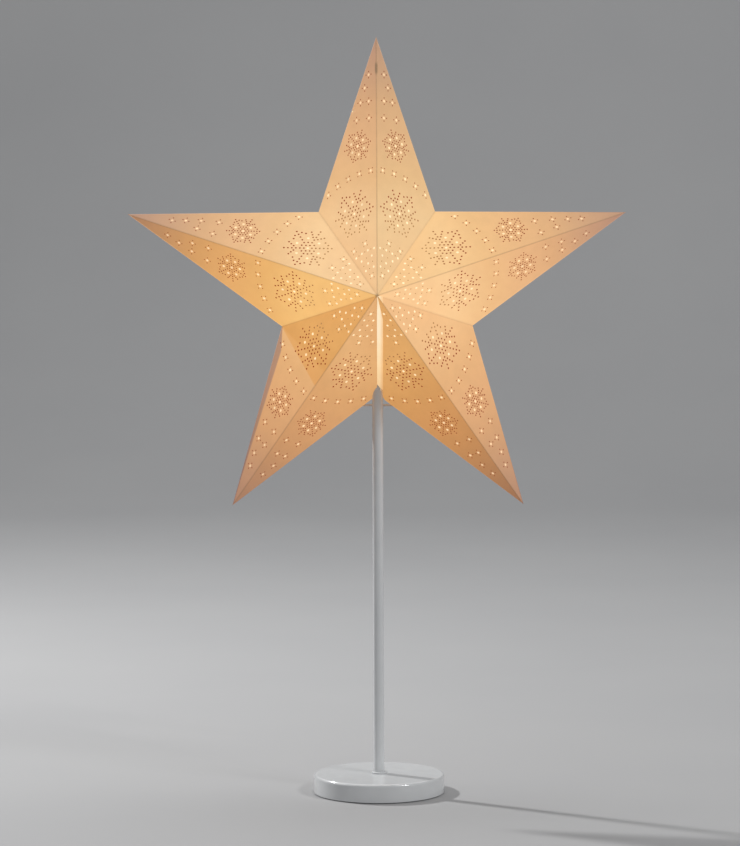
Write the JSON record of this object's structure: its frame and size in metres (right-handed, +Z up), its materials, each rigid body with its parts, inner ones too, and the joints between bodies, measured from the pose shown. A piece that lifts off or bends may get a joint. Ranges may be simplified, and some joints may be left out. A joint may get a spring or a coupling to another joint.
{
  "type": "paper star table lamp",
  "caption": "Lit folded-paper star with a pierced snowflake pattern, turning on a thin white pole that stands on a round weighted foot.",
  "frame": {"origin": "on the table, under the pole's axis, at the middle of the bounding box's lower face", "axes": "+Z up along the pole, -Y the side the star faces, +X to the right seen from the front"},
  "size_m": [0.4514, 0.125, 0.691],
  "materials": {
    "foot_foam": "matt foam rubber",
    "plated_steel": "zinc-plated steel",
    "cast_weight": "as cast",
    "white_lacquer": "glossy white powder coat",
    "white_plastic": "satin white moulding",
    "lead_brown": "flexible insulation",
    "lead_blue": "flexible insulation",
    "brass": "plain stamped brass",
    "black_insulator": "black glass-like insulator",
    "lamp_nickel": "nickel-plated, satin",
    "opal_glass": "opal, warm light from inside",
    "filament_yellow": "silicone phosphor coating",
    "wire_steel": "drawn wire",
    "wire_white": "plastic-covered wire, pale grey",
    "perforated_paper": "matt stiff paper, pierced, lit from inside",
    "plain_paper": "matt stiff paper"
  },
  "bodies": {
    "stand": {"foot_pad": "foot_foam", "bottom_plate": "plated_steel", "plate_screws": "plated_steel", "base_weight": "cast_weight", "base_shell": "white_lacquer", "cord_grommet": "white_plastic", "connector_block": "white_plastic", "pole_tube": "white_lacquer", "foot_nut": "plated_steel", "holder_nut": "plated_steel", "foot_washer": "plated_steel", "foot_collar": "white_lacquer", "live_lead": "lead_brown", "neutral_lead": "lead_blue", "holder_cap": "white_plastic", "grub_screw": "white_plastic", "holder_barrel": "white_plastic", "holder_insert": "white_plastic", "terminal_screws": "brass", "screw_shell": "brass", "centre_contact": "brass", "side_contact": "brass", "shade_ring_lower": "white_plastic", "shade_ring_upper": "white_plastic"},
    "lamp": {"lamp_contact": "brass", "lamp_insulator": "black_insulator", "lamp_cap": "lamp_nickel", "lamp_glass": "opal_glass", "lamp_stem": "opal_glass", "lamp_filaments": "filament_yellow", "filament_wires": "lamp_nickel"},
    "star": {"support_ring": "wire_steel", "support_rod": "wire_steel", "support_cap": "white_plastic", "closing_clip": "wire_white", "arm_top": "perforated_paper", "arm_right": "perforated_paper", "arm_lower_right": "perforated_paper", "arm_lower_left": "perforated_paper", "arm_left": "perforated_paper", "glue_tab_upper_right": "plain_paper", "glue_tab_lower_right": "plain_paper", "glue_tab_lower_left": "plain_paper", "glue_tab_upper_left": "plain_paper"}
  },
  "joints": [
    {"name": "star_swivel", "type": "hinge", "parent": "stand", "child": "star", "pos_m": [0, 0, 0.4168], "axis": [0, 0, 1], "continuous": true},
    {"name": "lamp_unscrew", "type": "slide", "parent": "stand", "child": "lamp", "axis": [0, 0, 1], "range_m": [0, 0.022]}
  ]
}
